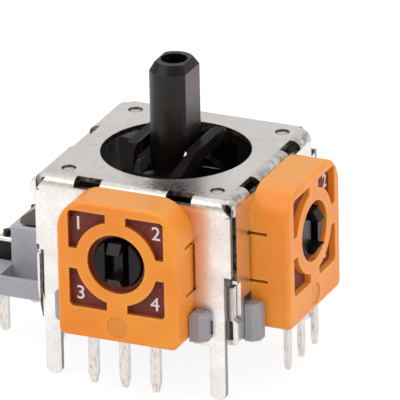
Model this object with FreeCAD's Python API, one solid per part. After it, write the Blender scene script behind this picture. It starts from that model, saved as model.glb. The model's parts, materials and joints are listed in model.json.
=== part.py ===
"""Two-axis analog stick module for a game controller, with a press switch.

A folded steel frame holds a grey base. A black stick rocks in a lower yoke and swings an upper
yoke. Each yoke turns the rotor of one rotary potentiometer. Pressing the stick rocks the lower
yoke about its potentiometer end, so that its other end pushes a switch.

All shapes are drawn in millimetres about the point where the two tilt axes cross: X runs along
the lower yoke, Y along the upper yoke, Z up. At the end everything is lifted, so that z = 0 is
the seat plane of the base.
"""
import FreeCAD
import Part
import math
import os

from FreeCAD import Vector

# Frame: one folded sheet of steel
FRAME_WIDTH = 16.0
SHEET = 0.4
BEND_RADIUS = 0.7
FRAME_TOP = 4.8
CAP_HEM = 0.5
WELL_RADIUS = 5.62
DIMPLE_RADIUS = 0.5
DIMPLE_DEPTH = 0.12
DIMPLE_INSET = 2.03
SKIRT_STEP_DROP = 1.15
SKIRT_LOW_DROP = 4.0
SIDE_SKIRT_DROP = 3.3
SWITCH_SKIRT_DROP = 1.7
SKIRT_MARGIN = 0.17
SEAM_GAP = 0.3
BEND_SLOT_NEAR = 2.65
BEND_SLOT_LENGTH = 2.05
BEND_SLOT_INSET = 0.87
BEND_SLOT_HEIGHT = 0.62
SWITCH_NOTCH_HALF = 2.1
SWITCH_NOTCH_HEIGHT = 0.6
RELIEF_WIDTH = 0.78
RELIEF_TOP_DROP = 0.2
RELIEF_HEIGHT = 1.05
BACK_CORNER_CUT = 1.2
LUG_RADIUS = 1.15
LUG_REACH = 0.45
LUG_DROP = 1.3
LEG_INSET = 1.37
LEG_WIDTH = 1.24
LEG_TIP_DROP = 11.0
LEG_TIP_RADIUS = 0.55
LEG_NICK = 0.28
LEG_NICK_HEIGHT = 1.1
CLINCH_LENGTH = 1.3
STRIP_WIDTH = 1.1
CRIMP_WIDTH = 0.65
CRIMP_PUSH = 0.35
CRIMP_TOP_DROP = 2.2
CRIMP_FOOT_DROP = 4.7
CRIMP_LEAD = 0.25
CRIMP_NOTCH = 0.35
FOLD_LENGTH = 1.0

# Base: one grey moulding
SEAT_DROP = 6.8
FLOOR_UNDER_DROP = 6.33
FLOOR_THICKNESS = 0.85
BASE_WALL = 0.9
BASE_WALL_TOP_DROP = 2.45
POST_TOP_DROP = 1.45
POST_SIZE = 1.7
BACK_POST_TOP = 2.6
SEAT_PAD_HALF = 5.6
EAR_WIDTH = 1.28
EAR_DEPTH = 1.05
EAR_TOP_DROP = 3.92
EAR_UNDER_DROP = 6.15
EAR_CHAMFER = 0.45
EAR_TOP_CHAMFER = 0.2
GUIDE_WALL = 0.55
GUIDE_SIDES = 8
GUIDE_TOP_DROP = 2.8

# Switch holder, part of the base
HOLDER_HALF_WIDTH = 6.0
HOLDER_TOP_DROP = 4.87
HOLDER_THICKNESS = 1.5
HOLDER_WALL = 0.5
HOLDER_WALL_TOP_DROP = 1.85
HOLDER_WALL_REACH = 4.0
POCKET_DEPTH = 1.0
POCKET_LIP = 0.3

# Potentiometers: two like units
POT_DEPTH = 3.05
POT_HALF_WIDTH = 4.78
POT_TOP = 4.6
POT_DROP = 6.25
POT_CORNER = 2.5
POT_FOOT_RADIUS = 0.55
POT_EDGE = 0.3
POT_FACE_WALL = 0.5
POT_SIDE_WALL = 0.75
WINDOW_HALF = 3.82
WINDOW_CORNER = 0.35
RING_OUTER = 3.25
RING_HOLE = 2.31
RIB_HALF = 0.8
GATE_RADIUS = 0.85
GATE_DEPTH = 0.08
GATE_DROP = 5.02
ARM_TOP = 1.17
ARM_DROP = 2.38
ARM_SLOT = 0.24
ARM_SLOT_DEPTH = 1.33
BARB_REACH = 0.35
BARB_LENGTH = 0.3
LATCH_GAP = 0.2
BOARD_THICKNESS = 0.55
TERMINAL_PITCH = 2.5
TERMINAL_WIDTH = 0.8
TERMINAL_THICKNESS = 0.3
TERMINAL_TIP_DROP = 10.25
TIP_LENGTH = 0.8
TIP_WIDTH = 0.4
TERMINAL_HEAD = 1.5
TERMINAL_HEAD_TOP_DROP = 3.9
TERMINAL_HEAD_HEIGHT = 1.3
ROTOR_HUB_RADIUS = 1.9
ROTOR_HUB_SETBACK = 0.15
ROTOR_DISC_RADIUS = 3.3
ROTOR_CHANNEL_HALF = 0.975
ROTOR_CHANNEL_DEPTH = 1.2
WIPER_ROOM = 0.5
WIPER_THICKNESS = 0.12
WIPER_INNER = 2.25
WIPER_OUTER = 3.1
WIPER_FINGER_WIDTH = 0.5
WIPER_SIDES = 8
WIPER_FINGER_HALF_ANGLE = 14.0

# Yokes and stick
TRUNNION_RADIUS = 2.0
BLADE_HALF_WIDTH = 0.5
BLADE_HALF_HEIGHT = 1.7
PRONG_HEIGHT = 0.72
PRONG_PROUD = 0.6
PRONG_SLOPE = 0.5
ROCKER_RADIUS = 1.6
WEB_HALF_WIDTH = 0.35
WEB_SETBACK = 0.3
ARCH_TOP = 6.0
ARCH_THICKNESS = 1.0
ARCH_FLAT_HALF = 2.6
ARCH_SHOULDER = 4.4
ARCH_SHOULDER_TOP = 4.72
ARCH_BAR = 0.85
ARCH_FOOT_HALF_WIDTH = 2.35
SLOT_PLAY = 0.45
SLOT_STRAIGHT_HALF = 3.2
SLOT_END_HALF_WIDTH = 1.5
CHEEK_OUTER = 5.7
CHEEK_THICKNESS = 0.95
CHEEK_TOP = 3.2
CHEEK_DROP = 2.1
SADDLE_RADIUS = 3.9
SADDLE_CHEEK = 0.85
SADDLE_DROP = 1.2
SADDLE_END = 0.8
SADDLE_END_TOP = 1.4
COLLAR_RADIUS = 2.3
ARM_RADIUS = 1.3
FOOT_RADIUS = 2.85
FOOT_HALF_ANGLE = 27.0
FOOT_REACH = 1.45
FOOT_ROOT_TOP = 1.1
FOOT_TIP_TOP_DROP = 2.05
FOOT_TIP_RADIUS = 0.6
SHAFT_RADIUS = 1.95
SHAFT_TOP = 12.08
SHAFT_FLAT = 1.46
SHAFT_LOW_FLAT = 1.5
SHAFT_SHOULDER = 6.9
SHAFT_CHAMFER_HEIGHT = 0.65
SHAFT_CHAMFER = 0.48
SHAFT_FLAT_CHAMFER = 0.32
SHAFT_BORE = 1.0
SHAFT_BORE_DEPTH = 3.0
HUB_RADIUS = 2.35
HUB_BARREL_RADIUS = 1.6
HUB_CAP_DROP = 1.5
HUB_CAP_ANGLES = (50.0, 34.0, 17.0, 0.0)
PIVOT_PIN_RADIUS = 0.9

# Return spring and its disc
DISC_RADIUS = 3.0
DISC_THICKNESS = 0.6
WIRE_RADIUS = 0.19
COIL_RADIUS = 2.45
COIL_TURNS = 3.25
COIL_STEPS = 52
WIRE_SIDES = 6

# Press switch
SWITCH_STANDOFF = 0.3
SWITCH_LENGTH = 5.1
SWITCH_WIDTH = 6.0
SWITCH_COVER = 0.3
SWITCH_COVER_TOP_DROP = 3.05
SWITCH_WALL = 0.7
PLUNGER_RADIUS = 1.75
PLUNGER_FLANGE = 0.2
PLUNGER_FLANGE_THICKNESS = 0.35
PRESS_TRAVEL = 0.25
STAKE_RADIUS = 0.27
STAKE_HEIGHT = 0.4
STAKE_INSET = 0.55
STAKE_SIDES = 8
DOME_SIDES = 8
DOME_RADIUS = 1.7
DOME_FLAT = 0.8
DOME_THICKNESS = 0.1
DOME_RISE = 0.35
SWITCH_PIN_WIDTH = 0.7
SWITCH_PIN_THICKNESS = 0.3
SWITCH_PIN_INSET = 0.32
SWITCH_PIN_PITCH = 4.5
SWITCH_PIN_TIP_DROP = 10.7
SWITCH_PIN_BURY = 0.5

# Clearances
RUNNING = 0.05
ROCKING = 0.1
SEATED = 0.03
SIDE_GAP = 0.08

# Places that follow from the sizes above
SKIRT = FRAME_WIDTH / 2
SKIRT_IN = SKIRT - SHEET
CAP_FOOT = FRAME_TOP - BEND_RADIUS - CAP_HEM
BASE_HALF = SKIRT_IN - CRIMP_PUSH - SEATED
FLOOR_TOP = FLOOR_THICKNESS - FLOOR_UNDER_DROP
POT_FACE = SKIRT + POT_DEPTH
BOARD_FRONT = POT_FACE - POT_FACE_WALL
BOARD_BACK = BOARD_FRONT - BOARD_THICKNESS
TERMINAL_BACK = BOARD_BACK - TERMINAL_THICKNESS
HUB_FACE = POT_FACE - ROTOR_HUB_SETBACK
ROTOR_FRONT = BOARD_BACK - WIPER_ROOM
PRONG_END = POT_FACE + PRONG_PROUD
ROCK_CENTRE = SKIRT - SHEET / 2
WEB_END = HUB_FACE - WEB_SETBACK
SLOT_HALF = SHAFT_LOW_FLAT + SLOT_PLAY
BAR_OUTER = SLOT_HALF + ARCH_BAR
CHEEK_INNER = CHEEK_OUTER - CHEEK_THICKNESS
SADDLE_INNER = SHAFT_RADIUS + RUNNING
SADDLE_OUTER = SADDLE_INNER + SADDLE_CHEEK
SADDLE_END_IN = SADDLE_RADIUS - SADDLE_END
EAR_IN = POT_HALF_WIDTH + SIDE_GAP
EAR_OUT = EAR_IN + EAR_WIDTH
LEG_CENTRE = SKIRT - LEG_INSET
LEG_OUT = LEG_CENTRE + LEG_WIDTH / 2
LEG_IN = LEG_CENTRE - LEG_WIDTH / 2
STRIP_NEAR = SKIRT_IN - SEAM_GAP
STRIP_FAR = STRIP_NEAR - STRIP_WIDTH
FOLD_TOP = -FLOOR_UNDER_DROP - SEATED
FOLD_LOW = FOLD_TOP - SHEET
ARM_WALL_IN = POT_HALF_WIDTH - POT_SIDE_WALL
HOLDER_TOP = -HOLDER_TOP_DROP
SWITCH_CENTRE = SKIRT + SWITCH_STANDOFF + SWITCH_LENGTH / 2
SWITCH_OUT = SWITCH_CENTRE + SWITCH_LENGTH / 2
SWITCH_IN = SWITCH_CENTRE - SWITCH_LENGTH / 2
COVER_TOP = -SWITCH_COVER_TOP_DROP
COVER_UNDER = COVER_TOP - SWITCH_COVER
PLUNGER_TOP = -FOOT_RADIUS - RUNNING
FLANGE_TOP = COVER_UNDER - SEATED
FLANGE_UNDER = FLANGE_TOP - PLUNGER_FLANGE_THICKNESS
DOME_TOP = FLANGE_UNDER - PRESS_TRAVEL - RUNNING
FOOT_TIP = SWITCH_CENTRE + FOOT_REACH
DISC_TOP = -HUB_RADIUS - RUNNING
DISC_UNDER = DISC_TOP - DISC_THICKNESS
OVER = 0.5


def box(x0, x1, y0, y1, z0, z1):
    """A box between six planes, given in any order."""
    low = Vector(min(x0, x1), min(y0, y1), min(z0, z1))
    return Part.makeBox(abs(x1 - x0), abs(y1 - y0), abs(z1 - z0), low)


def rod(radius, start, end):
    axis = end.sub(start)
    return Part.makeCylinder(radius, axis.Length, start, axis)


def rod_x(radius, x0, x1, y=0.0, z=0.0):
    return rod(radius, Vector(x0, y, z), Vector(x1, y, z))


def rod_y(radius, y0, y1, x=0.0, z=0.0):
    return rod(radius, Vector(x, y0, z), Vector(x, y1, z))


def rod_z(radius, z0, z1, x=0.0, y=0.0):
    return rod(radius, Vector(x, y, z0), Vector(x, y, z1))


def prism(corners, direction):
    """A flat outline of corners, pushed along a direction."""
    return Part.Face(Part.makePolygon(corners + corners[:1])).extrude(direction)


def prism_along_x(outline, x0, x1):
    """An outline of (y, z) points between two X planes."""
    return prism([Vector(x0, y, z) for y, z in outline], Vector(x1 - x0, 0, 0))


def prism_along_y(outline, y0, y1):
    """An outline of (x, z) points between two Y planes."""
    return prism([Vector(x, y0, z) for x, z in outline], Vector(0, y1 - y0, 0))


def prism_along_z(outline, z0, z1):
    """An outline of (x, y) points between two Z planes."""
    return prism([Vector(x, y, z0) for x, y in outline], Vector(0, 0, z1 - z0))


def mirrored_x(shape):
    return shape.mirror(Vector(0, 0, 0), Vector(1, 0, 0))


def mirrored_y(shape):
    return shape.mirror(Vector(0, 0, 0), Vector(0, 1, 0))


def pair_x(shape):
    """A shape and its mirror image on the other side of the YZ plane."""
    return [shape, mirrored_x(shape)]


def pair_y(shape):
    """A shape and its mirror image on the other side of the XZ plane."""
    return [shape, mirrored_y(shape)]


def turned(shape, degrees):
    """A copy turned about the Z axis."""
    copy = shape.copy()
    copy.rotate(Vector(0, 0, 0), Vector(0, 0, 1), degrees)
    return copy


def fuse_all(shapes):
    return shapes[0].multiFuse(shapes[1:]).removeSplitter()


def cut_all(shape, tools):
    for tool in tools:
        shape = shape.cut(tool)
    return shape


def ring_points(radius, sides):
    """The corners of a regular polygon whose sides lie at the radius, as pairs."""
    reach = radius / math.cos(math.pi / sides)
    turns = [math.pi * (2 * k + 1) / sides for k in range(sides)]
    return [(reach * math.cos(a), reach * math.sin(a)) for a in turns]


def four_ways(quarter):
    """A closed outline from the points of one quarter, which run from the X axis to the Y axis."""
    right = [(x, -y) for x, y in reversed(quarter)] + quarter
    return right + [(-x, -y) for x, y in right]


def near(value, target):
    return abs(value - target) < 1e-4


def rounded(shape, radius, test):
    """The shape with a fillet on each edge whose centre passes the test."""
    return shape.makeFillet(radius, [e for e in shape.Edges if test(e.CenterOfMass)])


def bevelled(shape, size, test):
    """The shape with a chamfer on each edge whose centre passes the test."""
    return shape.makeChamfer(size, [e for e in shape.Edges if test(e.CenterOfMass)])


# Steel frame

def frame_cap():
    """The top plate with its bends and rounded corners."""
    lid = box(-SKIRT, SKIRT, -SKIRT, SKIRT, CAP_FOOT, FRAME_TOP)
    lid = rounded(lid, BEND_RADIUS, lambda c: not near(c.z, CAP_FOOT))
    floor = CAP_FOOT - OVER
    room = box(-SKIRT_IN, SKIRT_IN, -SKIRT_IN, SKIRT_IN, floor, FRAME_TOP - SHEET)
    room = rounded(room, BEND_RADIUS - SHEET, lambda c: near(c.z, FRAME_TOP - SHEET))
    return lid.cut(room)


def leg(side):
    """A leg of the front skirt, with its nick and the tab folded in under the base."""
    blade = box(side * LEG_IN, side * LEG_OUT, -SKIRT, -SKIRT_IN, -LEG_TIP_DROP, -SKIRT_STEP_DROP)
    blade = rounded(blade, LEG_TIP_RADIUS,
                    lambda c: near(c.z, -LEG_TIP_DROP) and not near(abs(c.x), LEG_CENTRE))
    nick_top = -SKIRT_LOW_DROP - BEND_RADIUS
    nick = box(side * (LEG_IN - OVER), side * (LEG_IN + LEG_NICK), -SKIRT - OVER, -SKIRT_IN + OVER,
               nick_top - LEG_NICK_HEIGHT, nick_top)
    tab = box(side * (LEG_IN - CLINCH_LENGTH), side * (LEG_IN + LEG_NICK), -SKIRT,
              -BASE_HALF + FOLD_LENGTH, FOLD_LOW, FOLD_TOP)
    return blade.cut(nick).fuse(tab)


def front_skirt():
    """The skirt behind the front potentiometer, with two legs."""
    edge = SKIRT - SKIRT_MARGIN
    sheet = box(-edge, edge, -SKIRT, -SKIRT_IN, -SKIRT_STEP_DROP, CAP_FOOT)
    middle = box(-LEG_OUT, LEG_OUT, -SKIRT, -SKIRT_IN, -SKIRT_LOW_DROP, -SKIRT_STEP_DROP)
    return fuse_all([sheet, middle, leg(-1), leg(1)])


def strip_foot(outline_side, outline):
    """The foot of a side strip, from its bent outline, with the fold's outer edge rounded."""
    foot = prism_along_y(outline, -STRIP_NEAR, -STRIP_FAR)
    return rounded(foot, SHEET, lambda c: near(c.x, outline_side * SKIRT) and near(c.z, FOLD_LOW))


def crimped_strip():
    """A strip of the right skirt beside a corner: a lanced tongue bites the base."""
    straight_top = -CRIMP_TOP_DROP + CRIMP_NOTCH
    foot_top = -CRIMP_FOOT_DROP - CRIMP_LEAD
    fold_in = BASE_HALF - FOLD_LENGTH
    foot = strip_foot(1, [(SKIRT, foot_top), (SKIRT, FOLD_LOW), (fold_in, FOLD_LOW),
                          (fold_in, FOLD_TOP), (SKIRT_IN, FOLD_TOP), (SKIRT_IN, foot_top)])
    web = box(SKIRT_IN, SKIRT, -STRIP_NEAR + CRIMP_WIDTH, -STRIP_FAR, foot_top, straight_top)
    tongue = prism_along_y([(SKIRT, foot_top), (SKIRT_IN, foot_top),
                            (SKIRT_IN - CRIMP_PUSH, -CRIMP_FOOT_DROP),
                            (SKIRT_IN - CRIMP_PUSH, -CRIMP_TOP_DROP),
                            (SKIRT - CRIMP_PUSH, -CRIMP_TOP_DROP),
                            (SKIRT - CRIMP_PUSH, -CRIMP_FOOT_DROP)],
                           -STRIP_NEAR, -STRIP_NEAR + CRIMP_WIDTH - SIDE_GAP)
    return [foot, web, tongue]


def bent_strip():
    """A strip of the left skirt beside a corner: its foot leans in and folds under the base."""
    lean_top = -CRIMP_FOOT_DROP
    fold_in = BASE_HALF - FOLD_LENGTH
    outline = [(-SKIRT, lean_top), (-SKIRT + CRIMP_PUSH, FOLD_LOW), (-fold_in, FOLD_LOW),
               (-fold_in, FOLD_TOP), (-SKIRT_IN + CRIMP_PUSH, FOLD_TOP), (-SKIRT_IN, lean_top)]
    near_edge = -SKIRT_IN + SEATED
    foot = prism_along_y(outline, near_edge, -STRIP_FAR)
    straight = box(-SKIRT, -SKIRT_IN, near_edge, -STRIP_FAR, lean_top, -SWITCH_SKIRT_DROP)
    return [foot, straight]


def right_skirt():
    """The skirt behind the right potentiometer."""
    notch_foot = -CRIMP_TOP_DROP + CRIMP_NOTCH
    sheet = box(SKIRT_IN, SKIRT, -STRIP_NEAR, STRIP_NEAR, notch_foot, CAP_FOOT)
    middle = box(SKIRT_IN, SKIRT, -STRIP_FAR, STRIP_FAR, -SIDE_SKIRT_DROP, notch_foot)
    strips = [copy for piece in crimped_strip() for copy in pair_y(piece)]
    return fuse_all([sheet, middle] + strips)


def corner_lug():
    """The half-round lug beside the front skirt, at the upper corner of the switch side."""
    near_edge = -SKIRT_IN + SEATED
    disc = rod_y(LUG_RADIUS, near_edge, near_edge + SHEET, LUG_RADIUS - LUG_REACH - SKIRT,
                 FRAME_TOP - LUG_DROP)
    return disc.common(box(-SKIRT - OVER, -SKIRT_IN - RUNNING, -SKIRT, -SKIRT + 2 * SHEET + OVER,
                           CAP_FOOT - 2 * LUG_RADIUS, FRAME_TOP))


def left_skirt():
    """The skirt on the switch side, open below for the switch holder."""
    sheet = box(-SKIRT, -SKIRT_IN, -STRIP_NEAR, STRIP_NEAR, -SWITCH_SKIRT_DROP, CAP_FOOT)
    strips = [copy for piece in bent_strip() for copy in pair_y(piece)]
    half = ARM_RADIUS + ROCKING + RUNNING
    slot = rod_x(half, -SKIRT - OVER, -SKIRT_IN + OVER)
    throat = box(-SKIRT - OVER, -SKIRT_IN + OVER, -half, half, -SWITCH_SKIRT_DROP - OVER, 0)
    return cut_all(fuse_all([sheet, corner_lug()] + strips), [slot, throat])


def pot_openings():
    """What a skirt loses for the potentiometer in front of it: a bearing and two latch holes."""
    y0 = -SKIRT - OVER
    y1 = -SKIRT_IN + OVER
    bearing = rod_y(TRUNNION_RADIUS + RUNNING, y0, y1)
    latch = box(ARM_WALL_IN - SIDE_GAP, POT_HALF_WIDTH + LATCH_GAP, y0, y1,
                -ARM_DROP - SIDE_GAP, ARM_TOP + SIDE_GAP)
    return [bearing] + pair_x(latch)


def bend_slots():
    """The two slots punched along one bend line."""
    slot = box(BEND_SLOT_NEAR, BEND_SLOT_NEAR + BEND_SLOT_LENGTH, -SKIRT - OVER,
               -SKIRT + BEND_SLOT_INSET, FRAME_TOP - BEND_SLOT_HEIGHT, FRAME_TOP + OVER)
    return pair_x(slot)


def corner_relief():
    """The small three-cornered opening below each ball-shaped corner of the frame."""
    x1 = SKIRT - SKIRT_MARGIN
    x0 = x1 - RELIEF_WIDTH
    top = FRAME_TOP - RELIEF_TOP_DROP
    return prism_along_y([(x0, top), (x1, top), (x1, top - RELIEF_HEIGHT)],
                         -SKIRT - OVER, -SKIRT_IN + OVER / 2)


def back_corner_cut():
    """The slanting cut across a back corner of the top plate."""
    reach = SKIRT + OVER
    near_edge = SKIRT - BACK_CORNER_CUT
    outline = [(near_edge, reach), (near_edge, SKIRT - BEND_RADIUS),
               (SKIRT, near_edge - SKIRT_MARGIN), (reach, near_edge - SKIRT_MARGIN), (reach, reach)]
    return prism_along_z(outline, CAP_FOOT - BEND_RADIUS, FRAME_TOP + OVER)


def steel_frame():
    frame = fuse_all([frame_cap(), front_skirt(), mirrored_y(front_skirt()), right_skirt(),
                      left_skirt()])
    dimple_at = SKIRT - DIMPLE_INSET
    dimple = rod_z(DIMPLE_RADIUS, FRAME_TOP - DIMPLE_DEPTH, FRAME_TOP + OVER, dimple_at, dimple_at)
    well = rod_z(WELL_RADIUS, FRAME_TOP - SHEET - OVER, FRAME_TOP + OVER)
    notch = box(-SKIRT - OVER, -SKIRT + BEND_SLOT_INSET, -SWITCH_NOTCH_HALF, SWITCH_NOTCH_HALF,
                FRAME_TOP - SWITCH_NOTCH_HEIGHT, FRAME_TOP + OVER)
    back_bearing = rod_y(TRUNNION_RADIUS + RUNNING, SKIRT_IN - OVER, SKIRT + OVER)
    cuts = [well, notch, back_bearing]
    cuts += [copy for piece in pair_x(dimple) for copy in pair_y(piece)]
    cuts += [copy for piece in pair_x(corner_relief()) for copy in pair_y(piece)]
    cuts += pair_x(back_corner_cut())
    for turn in (0, 90):
        cuts += [turned(piece, turn) for piece in pot_openings() + bend_slots()]
    return cut_all(frame, cuts)


# Base

def ear(under_drop, root_drop):
    """One of the two ears that hold the front potentiometer between them."""
    y_back = -SKIRT - SEATED
    y_front = y_back - EAR_DEPTH
    top = -EAR_TOP_DROP
    block = prism_along_z([(EAR_IN, y_back), (EAR_IN, y_front), (EAR_OUT - EAR_CHAMFER, y_front),
                           (EAR_OUT, y_front + EAR_CHAMFER), (EAR_OUT, y_back)], -under_drop, top)
    block = bevelled(block, EAR_TOP_CHAMFER, lambda c: near(c.z, top) and not near(c.y, y_back))
    root = box(EAR_IN, LEG_IN - SIDE_GAP, y_front + EAR_CHAMFER, -BASE_HALF + BASE_WALL / 2,
               -under_drop, -root_drop)
    return block.fuse(root)


def switch_pin_places():
    """The four (x, y) places of the switch pins."""
    y = SWITCH_WIDTH / 2 - SWITCH_PIN_INSET
    xs = (-SWITCH_CENTRE - SWITCH_PIN_PITCH / 2, -SWITCH_CENTRE + SWITCH_PIN_PITCH / 2)
    return [(x, side * y) for x in xs for side in (-1, 1)]


def switch_pin_bar(place, grow, z0, z1):
    """A bar with a switch pin's section, grown on each side."""
    x, y = place
    half_width = SWITCH_PIN_WIDTH / 2 + grow
    half_thick = SWITCH_PIN_THICKNESS / 2 + grow
    return box(x - half_width, x + half_width, y - half_thick, y + half_thick, z0, z1)


def switch_holder():
    """The shelf that carries the switch, with a wall on each side and two open pockets."""
    under = HOLDER_TOP - HOLDER_THICKNESS
    root = -BASE_HALF + BASE_WALL / 2
    shelf = box(-SWITCH_OUT - SIDE_GAP, root, -HOLDER_HALF_WIDTH, HOLDER_HALF_WIDTH, under,
                HOLDER_TOP)
    wall_in = SWITCH_WIDTH / 2 + SIDE_GAP
    wall = box(-SKIRT - HOLDER_WALL_REACH, root, wall_in, wall_in + HOLDER_WALL, HOLDER_TOP,
               -HOLDER_WALL_TOP_DROP)
    pocket = box(-SKIRT - HOLDER_WALL_REACH, -SKIRT - HOLDER_WALL, wall_in + HOLDER_WALL,
                 HOLDER_HALF_WIDTH - POCKET_LIP, HOLDER_TOP - POCKET_DEPTH, HOLDER_TOP + OVER)
    holes = [switch_pin_bar(place, SEATED, under - OVER, HOLDER_TOP + OVER)
             for place in switch_pin_places()]
    return cut_all(fuse_all([shelf] + pair_y(wall)), pair_y(pocket) + holes)


def base():
    floor = box(-BASE_HALF, BASE_HALF, -BASE_HALF, BASE_HALF, -FLOOR_UNDER_DROP, FLOOR_TOP)
    pad = box(-SEAT_PAD_HALF, SEAT_PAD_HALF, -SEAT_PAD_HALF, SEAT_PAD_HALF, -SEAT_DROP,
              -FLOOR_UNDER_DROP)
    inner = BASE_HALF - BASE_WALL
    wall_top = -BASE_WALL_TOP_DROP
    walls = box(-BASE_HALF, BASE_HALF, -BASE_HALF, BASE_HALF, FLOOR_TOP, wall_top)
    walls = walls.cut(box(-inner, inner, -inner, inner, FLOOR_TOP - OVER, wall_top + OVER))
    post_in = BASE_HALF - POST_SIZE
    post = box(post_in, BASE_HALF, post_in, BASE_HALF, FLOOR_TOP, -POST_TOP_DROP)
    posts = [copy for piece in pair_x(post) for copy in pair_y(piece)]
    posts += pair_x(box(post_in, BASE_HALF, post_in, BASE_HALF, FLOOR_TOP, BACK_POST_TOP))
    guide_in = DISC_RADIUS + ROCKING
    guide = prism_along_z(ring_points(guide_in + GUIDE_WALL, GUIDE_SIDES), FLOOR_TOP,
                          -GUIDE_TOP_DROP)
    guide = guide.cut(rod_z(guide_in, FLOOR_TOP - OVER, -GUIDE_TOP_DROP + OVER))
    root_drop = max(SKIRT_LOW_DROP, SIDE_SKIRT_DROP) + SIDE_GAP
    front_ears = pair_x(ear(EAR_UNDER_DROP, root_drop))
    right_ears = [turned(piece, 90) for piece in pair_x(ear(SEAT_DROP, root_drop))]
    return fuse_all([floor, pad, walls, guide, switch_holder()] + posts + front_ears + right_ears)


# Potentiometer, drawn for the front of the frame

def rounded_plate(half_width, z0, z1, y0, y1, top_radius, foot_radius):
    """A plate across Y whose upper and lower corners are rounded."""
    plate = box(-half_width, half_width, y0, y1, z0, z1)
    plate = rounded(plate, top_radius, lambda c: near(abs(c.x), half_width) and near(c.z, z1))
    return rounded(plate, foot_radius, lambda c: near(abs(c.x), half_width) and near(c.z, z0))


def pot_windows():
    """The four three-cornered windows between the ring, the ribs and the outline."""
    y0 = -POT_FACE - OVER
    y1 = -BOARD_FRONT + OVER / 2
    window = box(RIB_HALF, WINDOW_HALF, y0, y1, RIB_HALF, WINDOW_HALF)
    window = rounded(window, WINDOW_CORNER,
                     lambda c: near(c.x, WINDOW_HALF) and near(c.z, WINDOW_HALF))
    window = window.cut(rod_y(RING_OUTER, y0, y1))
    low = window.mirror(Vector(0, 0, 0), Vector(0, 0, 1))
    return pair_x(window) + pair_x(low)


def pot_arm():
    """A latch arm at the side of the housing, with its barb behind the skirt."""
    arm_end = -SKIRT_IN + SEATED + BARB_LENGTH
    arm = box(ARM_WALL_IN, POT_HALF_WIDTH, -SKIRT - ARM_SLOT_DEPTH, arm_end, -ARM_DROP, ARM_TOP)
    barb = prism_along_z([(POT_HALF_WIDTH - OVER, -SKIRT_IN + SEATED),
                          (POT_HALF_WIDTH + BARB_REACH, -SKIRT_IN + SEATED),
                          (POT_HALF_WIDTH, arm_end), (POT_HALF_WIDTH - OVER, arm_end)],
                         -ARM_DROP, ARM_TOP)
    return arm.fuse(barb)


def pot_housing():
    shell = rounded_plate(POT_HALF_WIDTH, -POT_DROP, POT_TOP, -POT_FACE, -SKIRT, POT_CORNER,
                          POT_FOOT_RADIUS)
    face_edges = [e for e in shell.Edges if near(e.CenterOfMass.y, -POT_FACE)]
    shell = shell.makeFillet(POT_EDGE, face_edges)
    room = rounded_plate(ARM_WALL_IN, -POT_DROP + POT_SIDE_WALL, POT_TOP - POT_SIDE_WALL,
                         -BOARD_FRONT, -SKIRT + OVER, POT_CORNER - POT_SIDE_WALL, POT_FOOT_RADIUS)
    ring_hole = rod_y(RING_HOLE, -POT_FACE - OVER, -BOARD_FRONT + OVER)
    gate = rod_y(GATE_RADIUS, -POT_FACE - OVER, -POT_FACE + GATE_DEPTH, 0, -GATE_DROP)
    slot_back = -SKIRT + OVER
    slot_front = -SKIRT - ARM_SLOT_DEPTH
    slots = []
    for z in (ARM_TOP, -ARM_DROP - ARM_SLOT):
        slots += pair_x(box(ARM_WALL_IN - OVER, POT_HALF_WIDTH + OVER, slot_front, slot_back,
                            z, z + ARM_SLOT))
    notches = []
    half = TERMINAL_WIDTH / 2 + SEATED
    for place in (-TERMINAL_PITCH, 0, TERMINAL_PITCH):
        notches.append(box(place - half, place + half, -BOARD_BACK - SEATED, slot_back,
                           -POT_DROP - OVER, -POT_DROP + POT_SIDE_WALL + OVER))
    shell = cut_all(shell, [room, ring_hole, gate] + pot_windows() + slots + notches)
    return fuse_all([shell] + pair_x(pot_arm()))


def pot_board():
    """The phenolic board that carries the resistive track, seated behind the face."""
    gap = SEATED
    plate = rounded_plate(ARM_WALL_IN - gap, -POT_DROP + POT_SIDE_WALL + gap,
                          POT_TOP - POT_SIDE_WALL - gap, -BOARD_FRONT, -BOARD_BACK,
                          POT_CORNER - POT_SIDE_WALL - gap, POT_FOOT_RADIUS)
    return plate.cut(rod_y(ROTOR_HUB_RADIUS + SIDE_GAP, -BOARD_FRONT - OVER, -BOARD_BACK + OVER))


def pot_terminal(place):
    """A stamped terminal: a square head on the board and a pin with a narrowed tip."""
    head_top = -TERMINAL_HEAD_TOP_DROP
    head_foot = head_top - TERMINAL_HEAD_HEIGHT
    half = TERMINAL_WIDTH / 2
    tip = TIP_WIDTH / 2
    head_half = TERMINAL_HEAD / 2
    taper = -TERMINAL_TIP_DROP + TIP_LENGTH
    right = [(head_half, head_top), (head_half, head_foot), (half, head_foot), (half, taper),
             (tip, -TERMINAL_TIP_DROP)]
    left = [(-x, z) for x, z in reversed(right)]
    outline = [(place + x, z) for x, z in right + left]
    return prism_along_y(outline, -BOARD_BACK, -TERMINAL_BACK)


def pot_rotor():
    """The rotor: a disc with a split hub that shows through the ring."""
    disc = rod_y(ROTOR_DISC_RADIUS, -ROTOR_FRONT, -SKIRT - SIDE_GAP)
    hub = rod_y(ROTOR_HUB_RADIUS, -HUB_FACE, -ROTOR_FRONT)
    hub = bevelled(hub, SIDE_GAP, lambda c: near(c.y, -HUB_FACE))
    reach = ROTOR_HUB_RADIUS + OVER
    channel = box(-ROTOR_CHANNEL_HALF, ROTOR_CHANNEL_HALF, -HUB_FACE - OVER,
                  -HUB_FACE + ROTOR_CHANNEL_DEPTH, -reach, reach)
    slot_half = BLADE_HALF_WIDTH + RUNNING
    slot_height = BLADE_HALF_HEIGHT + ROCKING
    slot = box(-slot_half, slot_half, -HUB_FACE - OVER, -SKIRT + OVER, -slot_height, slot_height)
    return cut_all(fuse_all([disc, hub]), [channel, slot])


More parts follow.
